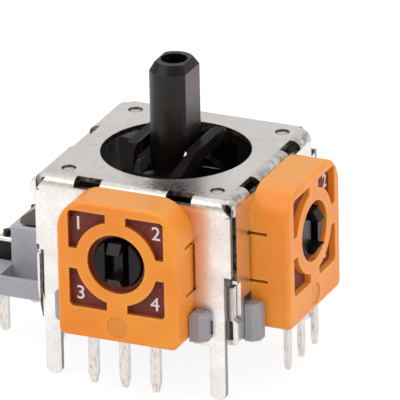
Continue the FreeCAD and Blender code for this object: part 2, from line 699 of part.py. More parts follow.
def pot_wiper():
    """The sprung contact: a flat ring on the rotor with two fingers that rise to the track."""
    ring = prism_along_y(ring_points(WIPER_OUTER * math.cos(math.pi / WIPER_SIDES), WIPER_SIDES),
                         -ROTOR_FRONT - WIPER_THICKNESS, -ROTOR_FRONT)
    ring = ring.cut(rod_y(WIPER_INNER, -ROTOR_FRONT - OVER, -ROTOR_FRONT + OVER))
    half = WIPER_OUTER * math.sin(math.radians(WIPER_FINGER_HALF_ANGLE))
    foot_y = -ROTOR_FRONT - WIPER_THICKNESS / 2
    tip_y = -BOARD_BACK + SEATED
    outline = [(foot_y, -half), (tip_y, half - WIPER_THICKNESS), (tip_y, half),
               (foot_y + WIPER_THICKNESS / 2, -half)]
    finger = prism([Vector(WIPER_INNER + SIDE_GAP, y, z) for y, z in outline],
                   Vector(WIPER_FINGER_WIDTH, 0, 0))
    other = finger.copy()
    other.rotate(Vector(0, 0, 0), Vector(0, 1, 0), 180)
    return fuse_all([ring, finger, other])


def potentiometer():
    """The pieces of one potentiometer, by name."""
    pieces = {"pot_housing": pot_housing(), "pot_board": pot_board(), "pot_rotor": pot_rotor(),
              "pot_wiper": pot_wiper()}
    places = {"outer": -TERMINAL_PITCH, "middle": 0.0, "inner": TERMINAL_PITCH}
    for name, place in places.items():
        pieces["pot_terminal_" + name] = pot_terminal(place)
    return pieces


# Yokes and stick

def drive_blade():
    """The blade at a yoke's front end: two prongs with sloping ends that show in the rotor, a
    thinner web between them, and a round rocker that is centred in the skirt's bearing hole."""
    inside = -SKIRT + RUNNING
    prong_z = BLADE_HALF_HEIGHT - PRONG_HEIGHT
    rocker = rod_x(ROCKER_RADIUS, -BLADE_HALF_WIDTH, BLADE_HALF_WIDTH, -ROCK_CENTRE)
    web = box(-WEB_HALF_WIDTH, WEB_HALF_WIDTH, -WEB_END, inside, -prong_z, prong_z)
    prongs = []
    for side in (-1, 1):
        outer = side * BLADE_HALF_HEIGHT
        inner = side * prong_z
        prongs.append(prism_along_x([(inside, inner), (-PRONG_END, inner),
                                     (-PRONG_END + PRONG_SLOPE, outer), (inside, outer)],
                                    -BLADE_HALF_WIDTH, BLADE_HALF_WIDTH))
    return [rocker, web] + prongs


def upper_yoke():
    """The arched yoke along Y: the stick stands in its slot."""
    wall_in = CHEEK_INNER - OVER / 2
    half = [(ARCH_FLAT_HALF, ARCH_TOP), (ARCH_SHOULDER, ARCH_SHOULDER_TOP),
            (CHEEK_INNER, FRAME_TOP - BEND_RADIUS), (CHEEK_OUTER, CHEEK_TOP),
            (CHEEK_OUTER, -CHEEK_DROP), (CHEEK_INNER, -CHEEK_DROP),
            (CHEEK_INNER, CHEEK_TOP), (wall_in, CHEEK_TOP + ARCH_THICKNESS / 2),
            (ARCH_FLAT_HALF - OVER / 2, ARCH_TOP - ARCH_THICKNESS)]
    outline = half + [(-y, z) for y, z in reversed(half)]
    plan = [(BAR_OUTER, ARCH_FLAT_HALF), (ARCH_FOOT_HALF_WIDTH, ARCH_SHOULDER),
            (ARCH_FOOT_HALF_WIDTH, CHEEK_OUTER + OVER)]
    bridge = prism_along_x(outline, -BAR_OUTER, BAR_OUTER).common(
        prism_along_z(four_ways(plan), -CHEEK_DROP - OVER, ARCH_TOP + OVER))
    plan = [(SLOT_HALF, SLOT_STRAIGHT_HALF), (SLOT_END_HALF_WIDTH, ARCH_SHOULDER),
            (SLOT_END_HALF_WIDTH, wall_in)]
    slot = prism_along_z(four_ways(plan), CHEEK_TOP - OVER, ARCH_TOP + OVER)
    front = rod_y(TRUNNION_RADIUS, -SKIRT, -CHEEK_OUTER)
    back = rod_y(TRUNNION_RADIUS, CHEEK_OUTER, SKIRT + SHEET / 2)
    return fuse_all([bridge.cut(slot), front, back] + drive_blade())


def saddle():
    """The middle of the lower yoke: two arched cheeks joined at both ends."""
    block = rod_y(SADDLE_RADIUS, -SADDLE_OUTER, SADDLE_OUTER)
    below = box(-SADDLE_RADIUS - OVER, SADDLE_RADIUS + OVER, -SADDLE_OUTER - OVER,
                SADDLE_OUTER + OVER, -SADDLE_RADIUS - OVER, -SADDLE_DROP)
    reach = SADDLE_RADIUS + OVER
    room = box(-SADDLE_END_IN, SADDLE_END_IN, -SADDLE_INNER, SADDLE_INNER, -reach, reach)
    above = box(-reach, reach, -SADDLE_INNER, SADDLE_INNER, SADDLE_END_TOP, reach)
    pin_holes = rod_y(PIVOT_PIN_RADIUS + RUNNING, -SADDLE_OUTER - OVER, SADDLE_OUTER + OVER)
    return cut_all(block, [below, room, above, pin_holes])


def press_foot():
    """The lever beyond the left skirt, whose round underside rests over the switch."""
    reach = FOOT_RADIUS * math.sin(math.radians(FOOT_HALF_ANGLE))
    root = -SKIRT - RUNNING
    tip = -FOOT_TIP
    outline = [(root, FOOT_ROOT_TOP), (root, -FOOT_RADIUS - OVER), (tip, -FOOT_RADIUS - OVER),
               (tip, -FOOT_TIP_TOP_DROP)]
    lever = prism_along_y(outline, -reach, reach)
    lever = rounded(lever, FOOT_TIP_RADIUS,
                    lambda c: near(c.x, tip) and near(c.z, -FOOT_TIP_TOP_DROP))
    lever = lever.common(rod_x(FOOT_RADIUS, tip - OVER, root + OVER))
    gap = box(root + OVER, -SWITCH_CENTRE + FOOT_REACH, -reach - OVER, reach + OVER,
              -FOOT_RADIUS - OVER, -ARM_RADIUS)
    return lever.cut(gap)


def lower_yoke():
    """The yoke along X that carries the stick, drives the right rotor and presses the switch."""
    left_arm = rod_x(ARM_RADIUS, -SKIRT - SIDE_GAP, -SADDLE_END_IN - SADDLE_END / 2)
    trunnion = rod_x(TRUNNION_RADIUS, SADDLE_RADIUS, SKIRT)
    collar = rod_x(COLLAR_RADIUS, SADDLE_END_IN + SADDLE_END / 2, SKIRT_IN - SIDE_GAP)
    blade = [turned(piece, 90) for piece in drive_blade()]
    return fuse_all([saddle(), left_arm, trunnion, collar, press_foot()] + blade)


def double_flat(radius, half_width, z0, z1):
    """A round bar along Z with two flats that face along X."""
    reach = radius + OVER
    return rod_z(radius, z0, z1).common(box(-half_width, half_width, -reach, reach, z0, z1))


def stick():
    """The shaft with its two flats, the round-ended hub and the cross pins, in one piece."""
    chamfer_foot = SHAFT_TOP - SHAFT_CHAMFER_HEIGHT
    cone = Part.makeCone(SHAFT_RADIUS, SHAFT_RADIUS - SHAFT_CHAMFER, SHAFT_CHAMFER_HEIGHT,
                         Vector(0, 0, chamfer_foot), Vector(0, 0, 1))
    neck_cone = rod_z(SHAFT_RADIUS, SHAFT_SHOULDER, chamfer_foot).fuse(cone)
    reach = SHAFT_RADIUS + OVER
    tip = SHAFT_FLAT - SHAFT_FLAT_CHAMFER
    flats = prism_along_y([(-SHAFT_FLAT, SHAFT_SHOULDER), (SHAFT_FLAT, SHAFT_SHOULDER),
                           (SHAFT_FLAT, chamfer_foot), (tip, SHAFT_TOP), (-tip, SHAFT_TOP),
                           (-SHAFT_FLAT, chamfer_foot)], -reach, reach)
    shaft = neck_cone.common(flats)
    low = double_flat(SHAFT_RADIUS, SHAFT_LOW_FLAT, 0, SHAFT_SHOULDER)
    barrel = rod_y(HUB_BARREL_RADIUS, -SHAFT_RADIUS + RUNNING, SHAFT_RADIUS - RUNNING)
    profile = [Vector(0, 0, -HUB_CAP_DROP)]
    for angle in HUB_CAP_ANGLES:
        turn = math.radians(angle)
        profile.append(Vector(HUB_RADIUS * math.sin(turn), 0, -HUB_RADIUS * math.cos(turn)))
    cap = Part.Face(Part.makePolygon(profile + profile[:1])).revolve(
        Vector(0, 0, 0), Vector(0, 0, 1), 360)
    pin = rod_y(PIVOT_PIN_RADIUS, -SADDLE_OUTER, SADDLE_OUTER)
    bore = rod_z(SHAFT_BORE, SHAFT_TOP - SHAFT_BORE_DEPTH, SHAFT_TOP + OVER)
    return fuse_all([shaft, low, barrel, cap, pin]).cut(bore)


# Return spring

def centering_disc():
    """The disc that the spring holds up under the stick, with a rim that centres the coil."""
    disc = rod_z(DISC_RADIUS, DISC_UNDER, DISC_TOP)
    peg = rod_z(COIL_RADIUS - WIRE_RADIUS - SIDE_GAP, DISC_UNDER - DISC_THICKNESS / 2, DISC_UNDER)
    return disc.fuse(peg).removeSplitter()


def return_spring():
    """The coil spring between the floor of the base and the disc."""
    foot = FLOOR_TOP + WIRE_RADIUS + SEATED
    top = DISC_UNDER - WIRE_RADIUS - SEATED
    places = []
    for step in range(COIL_STEPS + 1):
        share = step / COIL_STEPS
        angle = 2 * math.pi * COIL_TURNS * share
        places.append(Vector(COIL_RADIUS * math.cos(angle), COIL_RADIUS * math.sin(angle),
                             foot + (top - foot) * share))
    outline = ring_points(WIRE_RADIUS, WIRE_SIDES)
    section = [Vector(COIL_RADIUS + x, 0, foot + z) for x, z in outline]
    return Part.makePolygon(places).makePipeShell([Part.makePolygon(section + section[:1])],
                                                  True, False, 1)


# Press switch

def switch_terminals():
    pins = {}
    names = ("outer_front", "outer_back", "inner_front", "inner_back")
    for name, place in zip(names, switch_pin_places()):
        bar = switch_pin_bar(place, 0, -SWITCH_PIN_TIP_DROP, HOLDER_TOP + SWITCH_PIN_BURY)
        foot = [e for e in bar.Edges if near(e.CenterOfMass.z, -SWITCH_PIN_TIP_DROP)
                and not near(e.CenterOfMass.x, place[0])]
        pins["switch_terminal_" + name] = bar.makeChamfer(SWITCH_PIN_THICKNESS / 2, foot)
    return pins


def switch_stakes(z0, z1):
    """The four posts at the corners of the switch that hold its cover."""
    x = SWITCH_LENGTH / 2 - STAKE_INSET
    y = SWITCH_WIDTH / 2 - STAKE_INSET
    places = [(side_x * x - SWITCH_CENTRE, side_y * y) for side_x in (-1, 1) for side_y in (-1, 1)]
    return [prism_along_z([(x + dx, y + dy) for dx, dy in ring_points(STAKE_RADIUS, STAKE_SIDES)],
                          z0, z1) for x, y in places]


def switch_body(pins):
    """The moulded case of the switch, with four posts that hold its cover."""
    half = SWITCH_WIDTH / 2
    case = box(-SWITCH_OUT, -SWITCH_IN, -half, half, HOLDER_TOP, COVER_UNDER)
    room = rod_z(PLUNGER_RADIUS + PLUNGER_FLANGE + RUNNING, DOME_TOP - DOME_RISE, COVER_UNDER + OVER,
                 -SWITCH_CENTRE)
    stakes = switch_stakes(COVER_UNDER, COVER_TOP + STAKE_HEIGHT)
    return fuse_all([cut_all(case, [room] + list(pins.values()))] + stakes)


def switch_cover():
    """The sheet cover of the switch."""
    half = SWITCH_WIDTH / 2
    plate = box(-SWITCH_OUT, -SWITCH_IN, -half, half, COVER_UNDER, COVER_TOP)
    plate = bevelled(plate, SIDE_GAP, lambda c: near(c.z, COVER_TOP))
    opening = rod_z(PLUNGER_RADIUS + RUNNING, COVER_UNDER - OVER, COVER_TOP + OVER, -SWITCH_CENTRE)
    return cut_all(plate, [opening] + switch_stakes(COVER_UNDER - OVER, COVER_TOP + OVER))


def switch_plunger():
    button = rod_z(PLUNGER_RADIUS, FLANGE_UNDER, PLUNGER_TOP, -SWITCH_CENTRE)
    button = bevelled(button, RUNNING, lambda c: near(c.z, PLUNGER_TOP))
    flange = rod_z(PLUNGER_RADIUS + PLUNGER_FLANGE, FLANGE_UNDER, FLANGE_TOP, -SWITCH_CENTRE)
    return button.fuse(flange).removeSplitter()


def dome_block(foot_radius, top_radius, z0, z1):
    """A block with sloping sides between two regular outlines."""
    reach = foot_radius + OVER
    slab = prism_along_y([(-foot_radius, z0), (foot_radius, z0), (top_radius, z1),
                          (-top_radius, z1)], -reach, reach)
    block = slab
    for step in range(1, DOME_SIDES // 2):
        block = block.common(turned(slab, 360 / DOME_SIDES * step))
    block.translate(Vector(-SWITCH_CENTRE, 0, 0))
    return block


def switch_dome():
    """The snap dome: an eight-sided sheet with a raised flat centre."""
    foot = DOME_TOP - DOME_RISE
    outer = dome_block(DOME_RADIUS, DOME_FLAT, foot, DOME_TOP)
    inner = dome_block(DOME_RADIUS - DOME_THICKNESS, DOME_FLAT - DOME_THICKNESS, foot,
                       DOME_TOP - DOME_THICKNESS)
    return outer.cut(inner)


def all_pieces():
    """Every piece of the module, by node name."""
    pieces = {"steel_frame": steel_frame(), "base": base(), "upper_yoke": upper_yoke(),
              "lower_yoke": lower_yoke(), "stick": stick(), "centering_disc": centering_disc(),
              "return_spring": return_spring()}
    for name, shape in potentiometer().items():
        pieces["front_" + name] = shape
        pieces["right_" + name] = turned(shape, 90)
    pins = switch_terminals()
    pieces["switch_body"] = switch_body(pins)
    pieces["switch_cover"] = switch_cover()
    pieces["switch_plunger"] = switch_plunger()
    pieces["switch_dome"] = switch_dome()
    pieces.update(pins)
    return pieces


def main():
    os.makedirs("parts", exist_ok=True)
    for name, shape in all_pieces().items():
        shape = shape.copy()
        shape.translate(Vector(0, 0, SEAT_DROP))
        print(name, "solids", len(shape.Solids), "valid", shape.isValid(),
              "volume", round(shape.Volume, 3))
        shape.exportStep("parts/" + name + ".step")


main()
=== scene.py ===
"""Looks of the two-axis analog stick module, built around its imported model.

Lengths are in metres unless a name ends in _MM. The row frame is used throughout: X towards the
right potentiometer, Y away from the front one, Z up. Places in _MM are measured from the crossing
of the two tilt axes.
"""

import json
import math

import bpy
from mathutils import Matrix, Vector


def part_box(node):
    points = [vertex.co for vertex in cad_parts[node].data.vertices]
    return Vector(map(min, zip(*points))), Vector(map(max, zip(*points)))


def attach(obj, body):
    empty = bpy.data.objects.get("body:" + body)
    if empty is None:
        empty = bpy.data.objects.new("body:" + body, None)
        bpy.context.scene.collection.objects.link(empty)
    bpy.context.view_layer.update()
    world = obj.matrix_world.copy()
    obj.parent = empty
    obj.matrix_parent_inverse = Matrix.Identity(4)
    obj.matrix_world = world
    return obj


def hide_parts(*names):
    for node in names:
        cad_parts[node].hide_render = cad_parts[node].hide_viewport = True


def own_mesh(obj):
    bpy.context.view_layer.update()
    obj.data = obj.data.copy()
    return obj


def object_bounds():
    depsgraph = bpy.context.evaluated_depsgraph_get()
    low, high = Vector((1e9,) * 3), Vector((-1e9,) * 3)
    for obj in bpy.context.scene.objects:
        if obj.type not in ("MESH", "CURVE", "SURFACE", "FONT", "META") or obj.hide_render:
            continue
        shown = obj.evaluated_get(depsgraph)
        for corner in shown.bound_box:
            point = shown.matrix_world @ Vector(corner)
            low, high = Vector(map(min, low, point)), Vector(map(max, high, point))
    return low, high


MM = 0.001
PICTURE_PX = 400

# Camera, fitted to the photograph
CAMERA_AZIMUTH = math.radians(24.322)
CAMERA_ELEVATION = math.radians(23.095)
CAMERA_ROLL = math.radians(-1.191)
CAMERA_DISTANCE_MM = 666.66
CAMERA_FOCAL_PX = 9002.64
CAMERA_AIM_RIGHT_MM = 1.692
CAMERA_AIM_UP_MM = 0.661
CAMERA_NEAR = 0.05
CAMERA_FAR = 5.0
SENSOR_MM = 36.0

# Light: strengths of the surroundings, then each lamp's place and power
WORLD_LIGHT = 0.82
WORLD_GREY = 0.8
BACKDROP_WHITE = 1.0
SKY_BRIGHT = 1.0
SKY_BEHIND = 0.62
SKY_CAMERA_SIDE = 0.3
SKY_STOPS = ((0.0, SKY_BEHIND), (0.5, SKY_BRIGHT), (0.72, SKY_BRIGHT), (0.9, SKY_CAMERA_SIDE))
LAMP_SIZE = 0.2
LAMPS = (("key", (-0.16, -0.16, 0.20), 0.22),
         ("fill", (0.24, -0.06, 0.12), 0.16),
         ("top", (0.0, 0.08, 0.25), 0.1))

# Floor
FLOOR_HALF = 0.6
FLOOR_GLOW = 0.86
FLOOR_ALBEDO = 0.26
FLOOR_BOUNCE = 0.8

# Margins: a length that is safely nothing, and how squarely a surface faces an axis
NEAR_MM = 0.05
STEEP = 0.5
SQUARE = 0.7
FLAT_ON = 0.9

# Marks along edges and on spots: the samples taken, and where each mark fades
EDGE_SAMPLES = 4
EDGE_FADES = (0.8, 0.99)
SPOT_FADES = (0.6, 1.2)

# How the names below end. NOISE: features in a millimetre, detail, roughness. RAMP: colours by
# position. SPAN: the two values that a range is turned into, then the range's two ends. BUMP: depth
# in millimetres, strength. FADES_MM: where a mark begins to fade and where it ends.

# The frame's sheet
SHEET_MM = 0.4
BEND_MM = 0.75
BEND_SLOT_FLOOR_MM = 4.18
BEND_CUT_FROM_MM = BEND_SLOT_FLOOR_MM - 0.3
BEND_TOP_FROM_MM = BEND_SLOT_FLOOR_MM - 0.15
BEND_SQUARE = 0.85
CORNER_MM = 6.9
DIMPLE_AT_MM = 5.97
DIMPLE_RADIUS_MM = 0.5
DIMPLE_LINE_MM = 0.06
SIDE_CUT_DOWN_TO_MM = -1.6
# Where the front edge of the left skirt's strip gets a painted shade
STRIP_TOP_MM = -0.75
STRIP_INSET_MM = 0.75 * SHEET_MM
STRIP_HALF_MM = 0.3 * SHEET_MM

# Tinned sheet
TIN_NOISE = (0.35, 5.0, 0.65)
TIN_RAMP = ((0.3, (0.78, 0.75, 0.72)), (0.62, (0.94, 0.905, 0.875)))
TIN_ROUGH_SPAN = (0.4, 0.27, 0.3, 0.7)
TIN_WAVE_NOISE = (0.22, 1.0)
TIN_WAVE_BUMP = (0.12, 0.5)
FLECK_NOISE = (7.0, 4.0, 0.7)
FLECK_SPAN = (0.0, 0.5, 0.52, 0.66)
FLECK_BUMP = (0.01, 0.6)
FLECK_COLOUR = (0.42, 0.385, 0.35)

# Its cut edges and the walls of its holes and slots, dark partly as dull cut steel and partly as painted shade,
# and the paler ones at the corner seams
CUT_AND_SHADE_NOISE = (2.5, 3.0)
CUT_AND_SHADE_RAMP = ((0.35, (0.045, 0.035, 0.03)), (0.7, (0.30, 0.26, 0.23)))
CUT_ROUGH = 0.5
SEAM_SHARE = 0.75
SEAM_COLOUR = (0.36, 0.335, 0.315)

# Its dull patch in front of the well
DULL_MIDDLE_MM = 2.6
DULL_ACROSS_SPAN = (1.0, 0.12, 0.9, 3.4)
DULL_FADES_MM = (-6.6, -5.0)
DULL_NOISE = (2.4, 6.0, 0.85)
DULL_SPAN = (0.1, 1.0, 0.44, 0.54)
DULL_COLOUR = (0.22, 0.21, 0.2)

# A painted reflection of the front unit's orange on the skirt beside it
ORANGE_REFLECTION_FROM_MM = 3.0
ORANGE_REFLECTION_ACROSS_SPAN = (0.7, 0.0, 4.4, 6.3)
ORANGE_REFLECTION_FADES_MM = (3.6, 4.2)
ORANGE_REFLECTION_COLOUR = (0.74, 0.43, 0.22)

# Its smeared right bend, its greyer front bend and its rims
SMEAR_FROM_MM = 6.9
SMEAR_INSET_MM = 0.3
SMEAR_NOISE = (1.7, 6.0, 0.75)
SMEAR_SPAN = (0.0, 0.9, 0.38, 0.6)
SMEAR_COLOUR = (0.27, 0.25, 0.235)
FRONT_BEND_INSETS_MM = (0.35, 0.75)
FRONT_BEND_NOISE = (2.6, 5.0, 0.75)
FRONT_BEND_SPAN = (0.4, 1.0, 0.38, 0.62)
FRONT_BEND_COLOUR = (0.60, 0.555, 0.49)
RIM_MM = 0.14
RIM_NOISE = (1.6, 4.0)
RIM_SPAN = (0.15, 0.7, 0.35, 0.6)
RIM_COLOUR = (0.27, 0.245, 0.225)

# A dark brown patch on it beside the right unit's upper slit: centre and reach
DARK_PATCH_MM = ((8.0, -4.9, 1.4), (0.3, 0.5, 0.2))
DARK_PATCH_NOISE = (3.0, 5.0)
DARK_PATCH_SPAN = (0.35, 0.95, 0.35, 0.55)
DARK_PATCH_COLOUR = (0.10, 0.05, 0.03)

# Pins, scraped down their length
PIN_NOISE = (5.0, 4.0, 0.6, (1, 1, 0.3))
PIN_RAMP = ((0.32, (0.50, 0.45, 0.41)), (0.5, (0.78, 0.73, 0.69)), (0.8, (0.83, 0.78, 0.74)))
PIN_ROUGH = 0.36
PIN_RIM_MM = 0.12
PIN_RIM_SHARE = 0.6
PIN_RIM_COLOUR = (0.36, 0.325, 0.30)
PIN_RELIEF_NOISE = (5.0, 2.0)
PIN_BUMP = (0.01, 0.5)

# Orange moulding, with a painted sheen on its tops and painted highlights at its edges
ORANGE_NOISE = (0.22, 4.0)
ORANGE_RAMP = ((0.32, (0.97, 0.255, 0.011)), (0.68, (1.0, 0.345, 0.024)))
ORANGE_TOP_SHEEN_SPAN = (0.0, 0.5, 0.7, 1.0)
ORANGE_TOP_SHEEN_COLOUR = (0.80, 0.42, 0.13)
ORANGE_EDGE_HIGHLIGHT_MM = 0.5
ORANGE_EDGE_HIGHLIGHT_SHARE = 0.6
ORANGE_EDGE_HIGHLIGHT_COLOUR = (1.0, 0.44, 0.05)
ORANGE_ROUGH_NOISE = (1.5,)
ORANGE_ROUGH_SPAN = (0.3, 0.42)
ORANGE_RELIEF_NOISE = (4.0, 2.0)
ORANGE_BUMP = (0.006, 0.4)
ORANGE_GLOW = 0.2
ORANGE_GLOW_MM = 0.6
ORANGE_GLOW_REACH = (1.0, 0.35, 0.1)

# Painted shade on the walls of its windows, and the gate mark below its ring
WINDOW_HALF_MM = 3.82
WINDOW_SHADE_DEPTHS_MM = (0.2, 0.03)
WINDOW_SHADE_FACING_SPAN = (1.0, 0.85, 0.3, 0.8)
WINDOW_SHADE_SHARE = 0.94
WINDOW_SHADE_COLOUR = (0.29, 0.026, 0.006)
GATE_DROP_MM = 5.02
GATE_RADIUS_MM = 0.85
GATE_DEPTH_MM = 0.2
GATE_SHARE = 0.4
GATE_COLOUR = (0.62, 0.22, 0.05)

# Grey moulding, paler at the switch's holder, with painted highlights at its edges and a painted glint on the base
GREY_NOISE = (0.5, 4.0)
EARS_RAMP = ((0.3, (0.315, 0.305, 0.33)), (0.7, (0.375, 0.365, 0.39)))
HOLDER_RAMP = ((0.3, (0.40, 0.405, 0.44)), (0.7, (0.47, 0.475, 0.51)))
GREY_EDGE_HIGHLIGHT_MM = 0.2
GREY_EDGE_HIGHLIGHT_SHARE = 0.45
GREY_EDGE_HIGHLIGHT_COLOUR = (0.62, 0.62, 0.66)
GREY_ROUGH = 0.48
GREY_RELIEF_NOISE = (5.0,)
GREY_BUMP = (0.008, 0.5)
GLINT_MM = ((-5.52, 5.9, 0.94), (0.3, 0.75, 0.08))
GLINT_COLOUR = (0.9, 0.9, 0.9)

# Black moulding, and the grey outer end of two of its pieces
BLACK_NOISE = (0.8, 4.0)
BLACK_RAMP = ((0.3, (0.0045, 0.0035, 0.003)), (0.7, (0.010, 0.007, 0.006)))
BLACK_ROUGH_NOISE = (0.6, 3.0)
BLACK_ROUGH_SPAN = (0.22, 0.34)
BLACK_RELIEF_NOISE = (3.0, 3.0)
BLACK_BUMP = (0.004, 0.5)
PALE_END_NODES = ("lower_yoke", "switch_plunger")
PALE_END_NOISE = (1.0,)
PALE_END_RAMP = ((0.3, (0.15, 0.13, 0.125)), (0.7, (0.21, 0.185, 0.18)))

# Its gloss, less in the well, and more on the shaft's left side and high up on its flats, which also get a painted
# sheen colour
STICK_HALF_MM = 2.1
WELL_HALF_MM = 7.0
WELL_FADES_MM = (4.6, 9.2)
WELL_FACING_SPAN = (0.85, 0.25, 0.3, 0.7)
SHAFT_SIDE_FADES_MM = (-1.46, -0.91)
SHAFT_SIDE_SHEEN_COLOUR = (0.030, 0.020, 0.030)
FLAT_FROM_MM = 1.31
FLAT_FADES_MM = (6.5, 10.0)
FLAT_SHEEN_COLOUR = (0.045, 0.008, 0.007)
CHAMFER_FROM_MM = 11.3
CHAMFER_FACING = (0.62, 0.27)
SHAFT_GLOSS = 0.33
WELL_GLOSS = 0.09
FLAT_GLOSS = 0.42
SHAFT_SIDE_GLOSS = 0.22
ROTOR_GLOSS_SHARE = 0.72
CHAMFER_GLOSS_SHARE = 0.62
CROWN_GLOSS_SHARE = 1.45

# Two painted glints on it in the well, the first at a small chip: centre and reach
WELL_GLINTS_MM = (((1.95, -2.81, 5.85), (0.17, 0.2, 0.2)), ((1.85, 2.0, 2.86), (0.75, 0.3, 0.06)))
WELL_GLINT_COLOUR = (0.85, 0.85, 0.85)

# Materials of one clouded colour: noise, ramp, the noise and bump of a relief, shader settings
PLAIN_MATERIALS = {
    "switch_steel": ((1.2,), ((0.3, (0.62, 0.60, 0.57)), (0.7, (0.80, 0.78, 0.75))),
                     ((6.0,), (0.004, 0.4)), {"Metallic": 1.0, "Roughness": 0.3}),
    "spring_wire": ((2.0,), ((0.3, (0.35, 0.35, 0.35)), (0.7, (0.55, 0.55, 0.55))),
                    None, {"Metallic": 1.0, "Roughness": 0.35}),
    "contact_metal": ((2.0,), ((0.3, (0.55, 0.38, 0.16)), (0.7, (0.75, 0.58, 0.30))),
                      None, {"Metallic": 1.0, "Roughness": 0.35}),
    "brown_board": ((3.0, 5.0), ((0.3, (0.165, 0.03, 0.021)), (0.7, (0.23, 0.045, 0.032))),
                    ((8.0,), (0.004, 0.4)), {"Roughness": 0.6, "Specular_IOR_Level": 0.3}),
    "print_white": ((6.0,), ((0.3, (0.90, 0.80, 0.75)), (0.6, (0.99, 0.91, 0.86))),
                    None, {"Roughness": 0.6}),
}

# Print on the boards: each numeral's place is across and up from the middle of its board
NUMERAL_HEIGHT_MM = 1.05
NUMERAL_HEIGHT_SHARE = 0.7
NUMERAL_BOLD_MM = 0.011
NUMERAL_THICKNESS_MM = 0.01
NUMERAL_LIFT_MM = 0.006
NUMERALS_MM = (("1", -3.18, 2.61), ("2", 3.05, 2.68), ("3", -3.1, -2.92), ("4", 2.85, -2.95))

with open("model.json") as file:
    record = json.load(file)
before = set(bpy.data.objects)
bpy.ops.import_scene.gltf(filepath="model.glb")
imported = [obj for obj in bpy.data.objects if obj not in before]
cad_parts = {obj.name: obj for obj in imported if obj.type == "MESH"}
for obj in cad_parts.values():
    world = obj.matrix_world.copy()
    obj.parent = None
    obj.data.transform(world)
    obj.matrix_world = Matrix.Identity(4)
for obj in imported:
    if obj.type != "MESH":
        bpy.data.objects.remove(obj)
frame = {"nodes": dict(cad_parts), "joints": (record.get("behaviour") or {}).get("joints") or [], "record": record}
cad_low, cad_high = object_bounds()
nodes = frame["nodes"]
pivot = Vector(next(j for j in frame["joints"] if j["name"] == "tilt_left_right")["pos_m"])


def box_mm(node):
    """A node's lowest and highest corners about the crossing of the tilt axes."""
    low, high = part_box(node)
    return (Vector(low) - pivot) / MM, (Vector(high) - pivot) / MM


# Places that follow from the frame
SHEET_OUT_MM = box_mm("steel_frame")[1].y
SHEET_TOP_MM = box_mm("steel_frame")[1].z
POT_FACE_MM = -box_mm("front_pot_housing")[0].y
NUMERAL_OUT_MM = -box_mm("front_pot_board")[0].y + NUMERAL_LIFT_MM


# Node helpers

